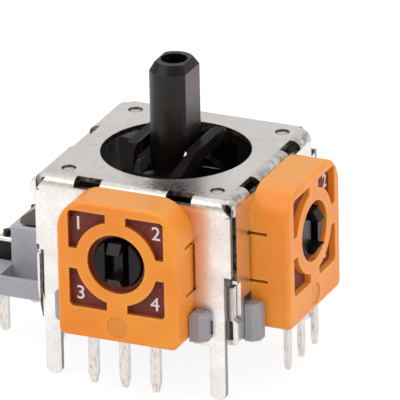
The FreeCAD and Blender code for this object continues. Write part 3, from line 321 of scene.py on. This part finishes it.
class Graph:
    """A node tree of a material or of the world, with short ways to add and join nodes.

    A share is a value from 0 to 1 that says how much of a mark a place shows.
    """

    def __init__(self, owner, output="ShaderNodeOutputMaterial"):
        owner.use_nodes = True
        self.owner = owner
        self.tree = owner.node_tree
        self.tree.nodes.clear()
        self.output = self.add(output)
        self.split = {}

    def add(self, kind, **settings):
        node = self.tree.nodes.new(kind)
        for key, value in settings.items():
            setattr(node, key, value)
        return node

    def link(self, source, target):
        self.tree.links.new(source, target)

    def put(self, value, socket):
        """Links a socket to an input, or sets the input to a number or a colour."""
        if isinstance(value, bpy.types.NodeSocket):
            self.link(value, socket)
        elif socket.type == "RGBA" and len(value) == 3:
            socket.default_value = tuple(value) + (1.0,)
        else:
            socket.default_value = value

    def math(self, operation, first, second=0.0, third=0.0):
        """A Math node on sockets or numbers."""
        node = self.add("ShaderNodeMath", operation=operation)
        for socket, value in zip(node.inputs, (first, second, third)):
            self.put(value, socket)
        return node.outputs[0]

    def above(self, value, limit):
        """1 where a value is over a limit, 0 elsewhere."""
        return self.math("GREATER_THAN", value, limit)

    def below(self, value, limit):
        """1 where a value is under a limit, 0 elsewhere."""
        return self.math("LESS_THAN", value, limit)

    def both(self, share, *others):
        """The product of two or more shares."""
        for other in others:
            share = self.math("MULTIPLY", share, other)
        return share

    def total(self, share, *others):
        """The sum of two or more values."""
        for other in others:
            share = self.math("ADD", share, other)
        return share

    def distance(self, first, second):
        """The length of two legs at right angles."""
        return self.math("SQRT", self.total(self.both(first, first), self.both(second, second)))

    def span(self, value, low, high, start=0.0, end=1.0):
        """A value from start to end turned into one from low to high."""
        node = self.add("ShaderNodeMapRange")
        ends = (("From Min", start), ("From Max", end), ("To Min", low), ("To Max", high))
        for name, number in ends:
            node.inputs[name].default_value = number
        self.link(value, node.inputs["Value"])
        return node.outputs["Result"]

    def coordinates(self, kind):
        """X, Y and Z of the object coordinates or of the normal."""
        if kind not in self.split:
            place = self.add("ShaderNodeTexCoord")
            split = self.add("ShaderNodeSeparateXYZ")
            self.link(place.outputs[kind], split.inputs[0])
            self.split[kind] = list(split.outputs)
        return self.split[kind]

    def place_mm(self):
        """X, Y and Z about the crossing of the tilt axes, in millimetres."""
        return [self.math("MULTIPLY_ADD", value, 1 / MM, -middle / MM)
                for value, middle in zip(self.coordinates("Object"), pivot)]

    def out_mm(self):
        """How far out along X and along Y, without sign, and the larger of the two."""
        x, y, _ = self.place_mm()
        far_x = self.math("ABSOLUTE", x)
        far_y = self.math("ABSOLUTE", y)
        return far_x, far_y, self.math("MAXIMUM", far_x, far_y)

    def facing(self):
        """How far the surface faces along X, Y and Z, without sign."""
        return [self.math("ABSOLUTE", value) for value in self.coordinates("Normal")]

    def edges(self, radius_mm):
        """1 where the surface turns sharply within a radius, 0 on flats."""
        bevel = self.add("ShaderNodeBevel", samples=EDGE_SAMPLES)
        bevel.inputs["Radius"].default_value = radius_mm * MM
        flat = self.add("ShaderNodeNewGeometry")
        dot = self.add("ShaderNodeVectorMath", operation="DOT_PRODUCT")
        self.link(bevel.outputs["Normal"], dot.inputs[0])
        self.link(flat.outputs["Normal"], dot.inputs[1])
        return self.span(dot.outputs["Value"], 1.0, 0.0, *EDGE_FADES)

    def spot(self, centre_mm, reach_mm):
        """1 inside an ellipsoid about a place, 0 outside."""
        squares = []
        for value, middle, reach in zip(self.place_mm(), centre_mm, reach_mm):
            off = self.math("DIVIDE", self.math("SUBTRACT", value, middle), reach)
            squares.append(self.both(off, off))
        return self.span(self.total(*squares), 1.0, 0.0, *SPOT_FADES)

    def noise(self, per_mm, detail=3.0, roughness=0.55, scale=(1, 1, 1)):
        """Noise with this many features in a millimetre, stretched by a scale."""
        place = self.add("ShaderNodeTexCoord")
        stretch = self.add("ShaderNodeMapping")
        stretch.inputs["Scale"].default_value = scale
        self.link(place.outputs["Object"], stretch.inputs["Vector"])
        node = self.add("ShaderNodeTexNoise")
        node.inputs["Scale"].default_value = per_mm / MM
        node.inputs["Detail"].default_value = detail
        node.inputs["Roughness"].default_value = roughness
        self.link(stretch.outputs["Vector"], node.inputs["Vector"])
        return node.outputs["Fac"]

    def ramp(self, value, *stops):
        """A value turned into a colour by (position, colour) stops."""
        node = self.add("ShaderNodeValToRGB")
        elements = node.color_ramp.elements
        while len(elements) < len(stops):
            elements.new(0.5)
        for element, (position, colour) in zip(elements, stops):
            element.position = position
            element.color = tuple(colour) + (1.0,)
        self.link(value, node.inputs["Fac"])
        return node.outputs["Color"]

    def blend(self, share, first, second):
        """A colour that goes from the first to the second with the share."""
        node = self.add("ShaderNodeMix", data_type="RGBA")
        self.link(share, node.inputs["Factor"])
        self.put(first, node.inputs[6])
        self.put(second, node.inputs[7])
        return node.outputs[2]

    def bump(self, height, depth_mm, strength, under=None):
        """A normal roughened by a height, over another normal where one is given."""
        node = self.add("ShaderNodeBump")
        node.inputs["Distance"].default_value = depth_mm * MM
        node.inputs["Strength"].default_value = strength
        self.link(height, node.inputs["Height"])
        if under is not None:
            self.link(under, node.inputs["Normal"])
        return node.outputs["Normal"]

    def shader(self, kind, **settings):
        """A shader node, with its inputs named by the settings."""
        node = self.add(kind)
        for key, value in settings.items():
            self.put(value, node.inputs[key.replace("_", " ")])
        return node.outputs[0]

    def principled(self, **settings):
        """A Principled shader as the material's surface."""
        self.link(self.shader("ShaderNodeBsdfPrincipled", **settings), self.output.inputs["Surface"])
        return self.owner

    def either_ray(self, first, second):
        """1 for rays of two kinds, by the names that Light Path gives them."""
        path = self.add("ShaderNodeLightPath")
        return self.math("MAXIMUM", path.outputs[first], path.outputs[second])

    def mix_shaders(self, share, first, second):
        node = self.add("ShaderNodeMixShader")
        self.link(share, node.inputs["Fac"])
        self.link(first, node.inputs[1])
        self.link(second, node.inputs[2])
        return node.outputs[0]


def new_graph(name):
    return Graph(bpy.data.materials.new(name))


def grey(value):
    return (value, value, value)


# Materials

def cuts_and_painted_shade(g):
    """Where the frame is painted dark: its cut edges and the walls of its holes and bend slots, dark partly as
    dull cut steel and partly as painted shade, the rims of its dimples, and a painted shade on the front edge of
    the left skirt's strip: 1 there, 0 elsewhere.
    """
    x, _, z = g.place_mm()
    far_x, far_y, far = g.out_mm()
    faces_x, faces_y, faces_z = g.facing()
    # Walls of holes in the top: dull cut steel with painted shade
    top_cuts_and_shade = g.both(g.above(z, SHEET_TOP_MM - SHEET_MM - NEAR_MM),
                      g.below(far, SHEET_OUT_MM - BEND_MM),
                      g.below(faces_z, STEEP))
    reach = g.distance(g.math("SUBTRACT", far_x, DIMPLE_AT_MM),
                       g.math("SUBTRACT", far_y, DIMPLE_AT_MM))
    ring = g.both(g.math("COMPARE", reach, DIMPLE_RADIUS_MM, DIMPLE_LINE_MM),
                  g.above(z, SHEET_TOP_MM - SHEET_MM))
    front = g.above(far_y, SHEET_OUT_MM - SHEET_MM - 0.5 * NEAR_MM)
    side = g.both(g.math("SUBTRACT", 1.0, front), g.above(x, 0.0), g.above(z, SIDE_CUT_DOWN_TO_MM))
    edge_front = g.above(g.math("MAXIMUM", faces_x, faces_z), SQUARE)
    edge_side = g.above(g.math("MAXIMUM", faces_y, faces_z), SQUARE)
    low_cuts = g.both(g.total(g.both(front, edge_front), g.both(side, edge_side)),
                      g.below(z, BEND_SLOT_FLOOR_MM + NEAR_MM))
    on_side = g.above(far_x, far_y)
    along = g.total(g.both(on_side, faces_y), g.both(g.math("SUBTRACT", 1.0, on_side), faces_x))
    # Walls of the bend slots: dull cut steel with painted shade
    bend_cuts_and_shade = g.both(g.above(along, BEND_SQUARE), g.above(z, BEND_CUT_FROM_MM),
                       g.below(g.math("MINIMUM", far_x, far_y), CORNER_MM))
    # Painted shade on the front edge of the left skirt's strip
    strip_shade = g.both(g.math("COMPARE", x, STRIP_INSET_MM - SHEET_OUT_MM, STRIP_HALF_MM),
                   g.above(faces_y, SQUARE), g.below(z, STRIP_TOP_MM))
    return g.math("MINIMUM", g.total(top_cuts_and_shade, ring, low_cuts, bend_cuts_and_shade, strip_shade), 1.0)


def tin_marks_and_reflection(g, colour):
    """Adds to a colour the dull patch, a painted reflection of the front unit's orange, the smears, a dark brown
    patch, the greyer front bend and the rims.
    """
    x, y, z = g.place_mm()
    off = g.math("ABSOLUTE", g.math("SUBTRACT", x, DULL_MIDDLE_MM))
    dull = g.both(g.span(y, 1.0, 0.0, *DULL_FADES_MM), g.above(z, SHEET_TOP_MM - 2 * NEAR_MM),
                  g.span(off, *DULL_ACROSS_SPAN), g.span(g.noise(*DULL_NOISE), *DULL_SPAN))
    # Painted reflection of the front unit's orange on the front skirt beside it
    orange_reflection = g.both(g.span(x, *ORANGE_REFLECTION_ACROSS_SPAN), g.below(y, NEAR_MM - SHEET_OUT_MM),
                  g.above(x, ORANGE_REFLECTION_FROM_MM), g.span(z, 1.0, 0.0, *ORANGE_REFLECTION_FADES_MM))
    smear = g.both(g.span(x, 0.0, 1.0, SMEAR_FROM_MM, SHEET_OUT_MM - SMEAR_INSET_MM),
                   g.above(z, BEND_SLOT_FLOOR_MM), g.span(g.noise(*SMEAR_NOISE), *SMEAR_SPAN))
    dark_patch = g.both(g.spot(*DARK_PATCH_MM), g.span(g.noise(*DARK_PATCH_NOISE), *DARK_PATCH_SPAN))
    front_bend_ends = [inset - SHEET_OUT_MM for inset in FRONT_BEND_INSETS_MM]
    front_bend = g.both(g.span(y, 1.0, 0.0, *front_bend_ends), g.above(z, BEND_TOP_FROM_MM),
                    g.span(g.noise(*FRONT_BEND_NOISE), *FRONT_BEND_SPAN))
    rim = g.both(g.edges(RIM_MM), g.span(g.noise(*RIM_NOISE), *RIM_SPAN))
    marks = ((dull, DULL_COLOUR), (orange_reflection, ORANGE_REFLECTION_COLOUR), (smear, SMEAR_COLOUR),
             (dark_patch, DARK_PATCH_COLOUR), (front_bend, FRONT_BEND_COLOUR), (rim, RIM_COLOUR))
    for share, mark in marks:
        colour = g.blend(share, colour, mark)
    return colour


def tinned_steel():
    """Bright tinned sheet with a fine speckle and grey blotches, brown and dull where it was cut, with painted
    shade in its holes and slots and a painted reflection of the front unit's orange.
    """
    g = new_graph("tinned_steel")
    blotch = g.noise(*TIN_NOISE)
    speckle = g.noise(*FLECK_NOISE)
    colour = g.blend(g.span(speckle, *FLECK_SPAN), g.ramp(blotch, *TIN_RAMP), FLECK_COLOUR)
    colour = tin_marks_and_reflection(g, colour)
    # Cut edges, partly dull cut steel and partly painted shade in holes and slots
    cut_and_shade = cuts_and_painted_shade(g)
    seam = g.both(g.facing()[0], g.below(g.place_mm()[2], BEND_CUT_FROM_MM), SEAM_SHARE)
    cut_and_shade_colour = g.blend(seam, g.ramp(g.noise(*CUT_AND_SHADE_NOISE), *CUT_AND_SHADE_RAMP), SEAM_COLOUR)
    colour = g.blend(cut_and_shade, colour, cut_and_shade_colour)
    rough = g.math("MAXIMUM", g.span(blotch, *TIN_ROUGH_SPAN), g.both(cut_and_shade, CUT_ROUGH))
    wave = g.bump(g.noise(*TIN_WAVE_NOISE), *TIN_WAVE_BUMP)
    normal = g.bump(speckle, *FLECK_BUMP, under=wave)
    return g.principled(Base_Color=colour, Metallic=1.0, Roughness=rough, Normal=normal)


def pin_metal():
    """Dull tin on flat pins, with long scrapes down their length."""
    g = new_graph("tinned_pins")
    colour = g.ramp(g.noise(*PIN_NOISE), *PIN_RAMP)
    colour = g.blend(g.both(g.edges(PIN_RIM_MM), PIN_RIM_SHARE), colour, PIN_RIM_COLOUR)
    normal = g.bump(g.noise(*PIN_RELIEF_NOISE), *PIN_BUMP)
    return g.principled(Base_Color=colour, Metallic=1.0, Roughness=PIN_ROUGH, Normal=normal)


def window_shade(g):
    """Where the front housing's window and ring walls get a painted shade: 1 there, 0 elsewhere."""
    far_x, far_y, far = g.out_mm()
    up = g.math("ABSOLUTE", g.place_mm()[2])
    across = g.math("MAXIMUM", g.math("MINIMUM", far_x, far_y), up)
    wall_ends = [POT_FACE_MM - depth for depth in WINDOW_SHADE_DEPTHS_MM]
    return g.both(g.below(across, WINDOW_HALF_MM + NEAR_MM), g.span(far, 1.0, 0.0, *wall_ends),
                  g.span(g.facing()[2], *WINDOW_SHADE_FACING_SPAN), g.below(far_x, far_y))


def gate_mark(g):
    """The browner round mark that the mould's gate left below each ring: 1 there, 0 elsewhere."""
    far_x, far_y, far = g.out_mm()
    up = g.total(g.place_mm()[2], GATE_DROP_MM)
    reach = g.distance(g.math("MINIMUM", far_x, far_y), up)
    return g.both(g.span(reach, 1.0, 0.0, GATE_RADIUS_MM - 2 * NEAR_MM, GATE_RADIUS_MM + NEAR_MM),
                  g.above(far, POT_FACE_MM - GATE_DEPTH_MM))


def orange_plastic():
    """Satin orange moulding that lets a little light through, with a painted sheen on its tops, painted highlights
    at its edges and painted shade on its window walls.
    """
    g = new_graph("orange_plastic")
    colour = g.ramp(g.noise(*ORANGE_NOISE), *ORANGE_RAMP)
    # Painted sheen on the tops, painted highlights at the edges and painted shade on the window walls
    marks = ((g.span(g.facing()[2], *ORANGE_TOP_SHEEN_SPAN), ORANGE_TOP_SHEEN_COLOUR),
             (g.both(g.edges(ORANGE_EDGE_HIGHLIGHT_MM), ORANGE_EDGE_HIGHLIGHT_SHARE), ORANGE_EDGE_HIGHLIGHT_COLOUR),
             (g.both(window_shade(g), WINDOW_SHADE_SHARE), WINDOW_SHADE_COLOUR),
             (g.both(gate_mark(g), GATE_SHARE), GATE_COLOUR))
    for share, mark in marks:
        colour = g.blend(share, colour, mark)
    rough = g.span(g.noise(*ORANGE_ROUGH_NOISE), *ORANGE_ROUGH_SPAN)
    normal = g.bump(g.noise(*ORANGE_RELIEF_NOISE), *ORANGE_BUMP)
    return g.principled(Base_Color=colour, Roughness=rough, Normal=normal,
                        Subsurface_Weight=ORANGE_GLOW, Subsurface_Radius=ORANGE_GLOW_REACH,
                        Subsurface_Scale=ORANGE_GLOW_MM * MM)


def grey_plastic():
    """Grey moulding, paler at the switch's holder, with painted highlights at its edges and a painted glint on the
    base.
    """
    g = new_graph("grey_plastic")
    cloud = g.noise(*GREY_NOISE)
    on_holder = g.below(g.place_mm()[0], -SHEET_OUT_MM - 2 * NEAR_MM)
    colour = g.blend(on_holder, g.ramp(cloud, *EARS_RAMP), g.ramp(cloud, *HOLDER_RAMP))
    # Painted highlights at the edges
    colour = g.blend(g.both(g.edges(GREY_EDGE_HIGHLIGHT_MM), GREY_EDGE_HIGHLIGHT_SHARE), colour, GREY_EDGE_HIGHLIGHT_COLOUR)
    # A painted glint on the base
    colour = g.blend(g.spot(*GLINT_MM), colour, GLINT_COLOUR)
    normal = g.bump(g.noise(*GREY_RELIEF_NOISE), *GREY_BUMP)
    return g.principled(Base_Color=colour, Roughness=GREY_ROUGH, Normal=normal)


def black_gloss(g, flat_sheen, side_shine):
    """How glossy a black piece is: least down in the well, most on the shaft's flats."""
    _, _, z = g.place_mm()
    _, _, faces_z = g.facing()
    _, _, far = g.out_mm()
    ring_middle = 0.5 * (STICK_HALF_MM + WELL_HALF_MM)
    ring_half = 0.5 * (WELL_HALF_MM - STICK_HALF_MM)
    in_well = g.math("COMPARE", far, ring_middle, ring_half)
    sunk = g.both(g.span(z, 1.0, 0.0, *WELL_FADES_MM), g.below(far, WELL_HALF_MM),
                  g.span(faces_z, *WELL_FACING_SPAN))
    gloss = g.both(g.span(in_well, SHAFT_GLOSS, WELL_GLOSS),
                   g.span(g.above(far, WELL_HALF_MM), 1.0, ROTOR_GLOSS_SHARE),
                   g.math("SUBTRACT", 1.0, sunk))
    gloss = g.total(gloss, g.both(flat_sheen, FLAT_GLOSS), g.both(side_shine, SHAFT_SIDE_GLOSS))
    at_top = g.above(z, CHAMFER_FROM_MM)
    chamfer = g.both(g.math("COMPARE", faces_z, *CHAMFER_FACING), at_top)
    crown = g.both(g.above(faces_z, FLAT_ON), at_top)
    return g.both(gloss, g.span(chamfer, 1.0, CHAMFER_GLOSS_SHARE),
                  g.span(crown, 1.0, CROWN_GLOSS_SHARE))


def black_plastic(name="black_plastic", pale_end=False):
    """Black moulding that catches the sky, with a painted sheen on the shaft's flats and left side, painted glints
    in the well and, on two pieces, a grey outer end.
    """
    g = new_graph(name)
    x, _, z = g.place_mm()
    far_x, _, far = g.out_mm()
    colour = g.ramp(g.noise(*BLACK_NOISE), *BLACK_RAMP)
    if pale_end:
        end_colour = g.ramp(g.noise(*PALE_END_NOISE), *PALE_END_RAMP)
        colour = g.blend(g.below(x, -SHEET_OUT_MM), colour, end_colour)
    # Painted glints in the well
    for glint_place in WELL_GLINTS_MM:
        colour = g.blend(g.spot(*glint_place), colour, WELL_GLINT_COLOUR)
    flat_sheen = g.both(g.span(z, 0.0, 1.0, *FLAT_FADES_MM), g.above(g.facing()[0], FLAT_ON),
                      g.above(far_x, FLAT_FROM_MM))
    side_shine = g.both(g.span(x, 1.0, 0.0, *SHAFT_SIDE_FADES_MM),
                        g.span(z, 0.0, 1.0, *WELL_FADES_MM), g.below(far, STICK_HALF_MM))
    # Painted sheen on the shaft's flats and its left side
    colour = g.blend(flat_sheen, colour, FLAT_SHEEN_COLOUR)
    colour = g.blend(side_shine, colour, SHAFT_SIDE_SHEEN_COLOUR)
    rough = g.span(g.noise(*BLACK_ROUGH_NOISE), *BLACK_ROUGH_SPAN)
    normal = g.bump(g.noise(*BLACK_RELIEF_NOISE), *BLACK_BUMP)
    return g.principled(Base_Color=colour, Roughness=rough, Normal=normal,
                        Specular_IOR_Level=black_gloss(g, flat_sheen, side_shine))


def plain_material(name):
    """A material of one clouded colour, with a fine relief where it has one."""
    grain, ramp, relief, settings = PLAIN_MATERIALS[name]
    g = new_graph(name)
    inputs = dict(settings, Base_Color=g.ramp(g.noise(*grain), *ramp))
    if relief is not None:
        relief_grain, bump = relief
        inputs["Normal"] = g.bump(g.noise(*relief_grain), *bump)
    return g.principled(**inputs)


def dress_nodes():
    """Gives each CAD node the material of its slot, and returns the materials by name."""
    made = {name: plain_material(name) for name in PLAIN_MATERIALS}
    for name, maker in (("tinned_steel", tinned_steel), ("tinned_pins", pin_metal),
                        ("orange_plastic", orange_plastic), ("grey_plastic", grey_plastic),
                        ("black_plastic", black_plastic)):
        made[name] = maker()
    pale_end = black_plastic("black_plastic_foot", pale_end=True)
    for part in frame["record"]["subparts"]:
        materials = nodes[part["node"]].data.materials
        materials.clear()
        materials.append(pale_end if part["node"] in PALE_END_NODES else made[part["material_slot"]])
    return made


def add_object(name, data):
    """A new object in the scene."""
    made = bpy.data.objects.new(name, data)
    bpy.context.scene.collection.objects.link(made)
    return made


# Print

def numeral(text, name, place, turn, material):
    """A raised plain numeral on a board, standing upright and facing outwards."""
    curve = bpy.data.curves.new(name, "FONT")
    curve.body = text
    curve.size = NUMERAL_HEIGHT_MM * MM / NUMERAL_HEIGHT_SHARE
    curve.align_x = "CENTER"
    curve.align_y = "CENTER"
    curve.extrude = NUMERAL_THICKNESS_MM * MM
    curve.offset = NUMERAL_BOLD_MM * MM
    source = bpy.data.objects.new(name + "_curve", curve)
    mesh = bpy.data.meshes.new_from_object(source)
    bpy.data.objects.remove(source)
    mesh.materials.clear()
    mesh.materials.append(material)
    piece = add_object(name, mesh)
    upright = Matrix.Rotation(turn, 4, "Z") @ Matrix.Rotation(math.radians(90), 4, "X")
    piece.matrix_world = Matrix.Translation(place) @ upright
    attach(piece, "housing")


def print_boards(material):
    """The same four numerals on both boards."""
    for side, turn in (("front", 0.0), ("right", math.radians(90))):
        spin = Matrix.Rotation(turn, 4, "Z")
        for text, across, up in NUMERALS_MM:
            place = pivot + spin @ Vector((across, -NUMERAL_OUT_MM, up)) * MM
            numeral(text, "print_%s_%s" % (side, text), place, turn, material)


# Return spring

def add_spring():
    """A copy of the return spring's coil, carried with the housing in place of its CAD node."""
    node = nodes["return_spring"]
    spring = add_object("spring_coil", node.data.copy())
    spring.matrix_world = node.matrix_world
    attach(spring, "housing")
    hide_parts("return_spring")
    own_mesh(spring)


# Camera, light and floor

def camera_axes():
    """The camera's right, up and back directions in the row frame, without its roll."""
    level = math.cos(CAMERA_ELEVATION)
    back = Vector((math.sin(CAMERA_AZIMUTH) * level, -math.cos(CAMERA_AZIMUTH) * level,
                   math.sin(CAMERA_ELEVATION)))
    right = Vector((math.cos(CAMERA_AZIMUTH), math.sin(CAMERA_AZIMUTH), 0.0))
    return right, back.cross(right), back


def add_camera():
    """The photograph's own view."""
    right, up, back = camera_axes()
    aim = pivot + (right * CAMERA_AIM_RIGHT_MM + up * CAMERA_AIM_UP_MM) * MM
    rolled_right = right * math.cos(CAMERA_ROLL) + up * math.sin(CAMERA_ROLL)
    rolled_up = up * math.cos(CAMERA_ROLL) - right * math.sin(CAMERA_ROLL)
    data = bpy.data.cameras.new("camera")
    data.sensor_width = SENSOR_MM
    data.lens = SENSOR_MM * CAMERA_FOCAL_PX / PICTURE_PX
    data.clip_start = CAMERA_NEAR
    data.clip_end = CAMERA_FAR
    camera = add_object("camera", data)
    turn = Matrix((rolled_right, rolled_up, back)).transposed().to_4x4()
    camera.matrix_world = Matrix.Translation(aim + back * CAMERA_DISTANCE_MM * MM) @ turn
    bpy.context.scene.camera = camera


def add_lamps():
    """Soft lamps that look at the crossing of the tilt axes."""
    for name, place, power in LAMPS:
        data = bpy.data.lights.new(name, "AREA")
        data.size = LAMP_SIZE
        data.energy = power
        lamp = add_object(name, data)
        lamp.location = place
        lamp.rotation_mode = "QUATERNION"
        lamp.rotation_quaternion = (Vector(place) - pivot).to_track_quat("Z", "Y")


def add_world():
    """White for the camera, a banded sky for reflections, and a plainer level as light."""
    world = bpy.data.worlds.new("studio")
    bpy.context.scene.world = world
    g = Graph(world, "ShaderNodeOutputWorld")
    shown = g.shader("ShaderNodeBackground", Color=grey(1.0), Strength=BACKDROP_WHITE)
    light = g.shader("ShaderNodeBackground", Color=grey(WORLD_GREY), Strength=WORLD_LIGHT)
    place = g.add("ShaderNodeTexCoord")
    towards = g.add("ShaderNodeVectorMath", operation="DOT_PRODUCT")
    towards.inputs[1].default_value = (math.sin(CAMERA_AZIMUTH), -math.cos(CAMERA_AZIMUTH), 0.0)
    g.link(place.outputs["Generated"], towards.inputs[0])
    turned = g.span(towards.outputs["Value"], 0.0, 1.0, -1.0, 1.0)
    bands = g.ramp(turned, *[(position, grey(value)) for position, value in SKY_STOPS])
    sky = g.shader("ShaderNodeBackground", Color=bands)
    path = g.add("ShaderNodeLightPath")
    unseen = g.mix_shaders(path.outputs["Is Glossy Ray"], light, sky)
    seen = g.either_ray("Is Camera Ray", "Is Transmission Ray")
    g.link(g.mix_shaders(seen, unseen, shown), g.output.inputs["Surface"])


def add_floor():
    """A white floor under the legs that keeps a soft shadow."""
    signs = ((-1, -1), (1, -1), (1, 1), (-1, 1))
    corners = [(x * FLOOR_HALF, y * FLOOR_HALF, cad_low.z) for x, y in signs]
    mesh = bpy.data.meshes.new("floor")
    mesh.from_pydata(corners, [], [(0, 1, 2, 3)])
    g = new_graph("floor")
    shaded = g.shader("ShaderNodeBsdfDiffuse", Color=grey(FLOOR_ALBEDO))
    glow = g.shader("ShaderNodeEmission", Strength=FLOOR_GLOW)
    plain = g.shader("ShaderNodeBsdfDiffuse", Color=grey(FLOOR_BOUNCE))
    shown = g.add("ShaderNodeAddShader")
    g.link(shaded, shown.inputs[0])
    g.link(glow, shown.inputs[1])
    seen = g.either_ray("Is Camera Ray", "Is Glossy Ray")
    g.link(g.mix_shaders(seen, plain, shown.outputs[0]), g.output.inputs["Surface"])
    mesh.materials.append(g.owner)
    add_object("floor", mesh)


materials = dress_nodes()
print_boards(materials["print_white"])
add_spring()
add_camera()
add_lamps()
add_world()
add_floor()
bpy.context.scene.view_settings.view_transform = "Standard"
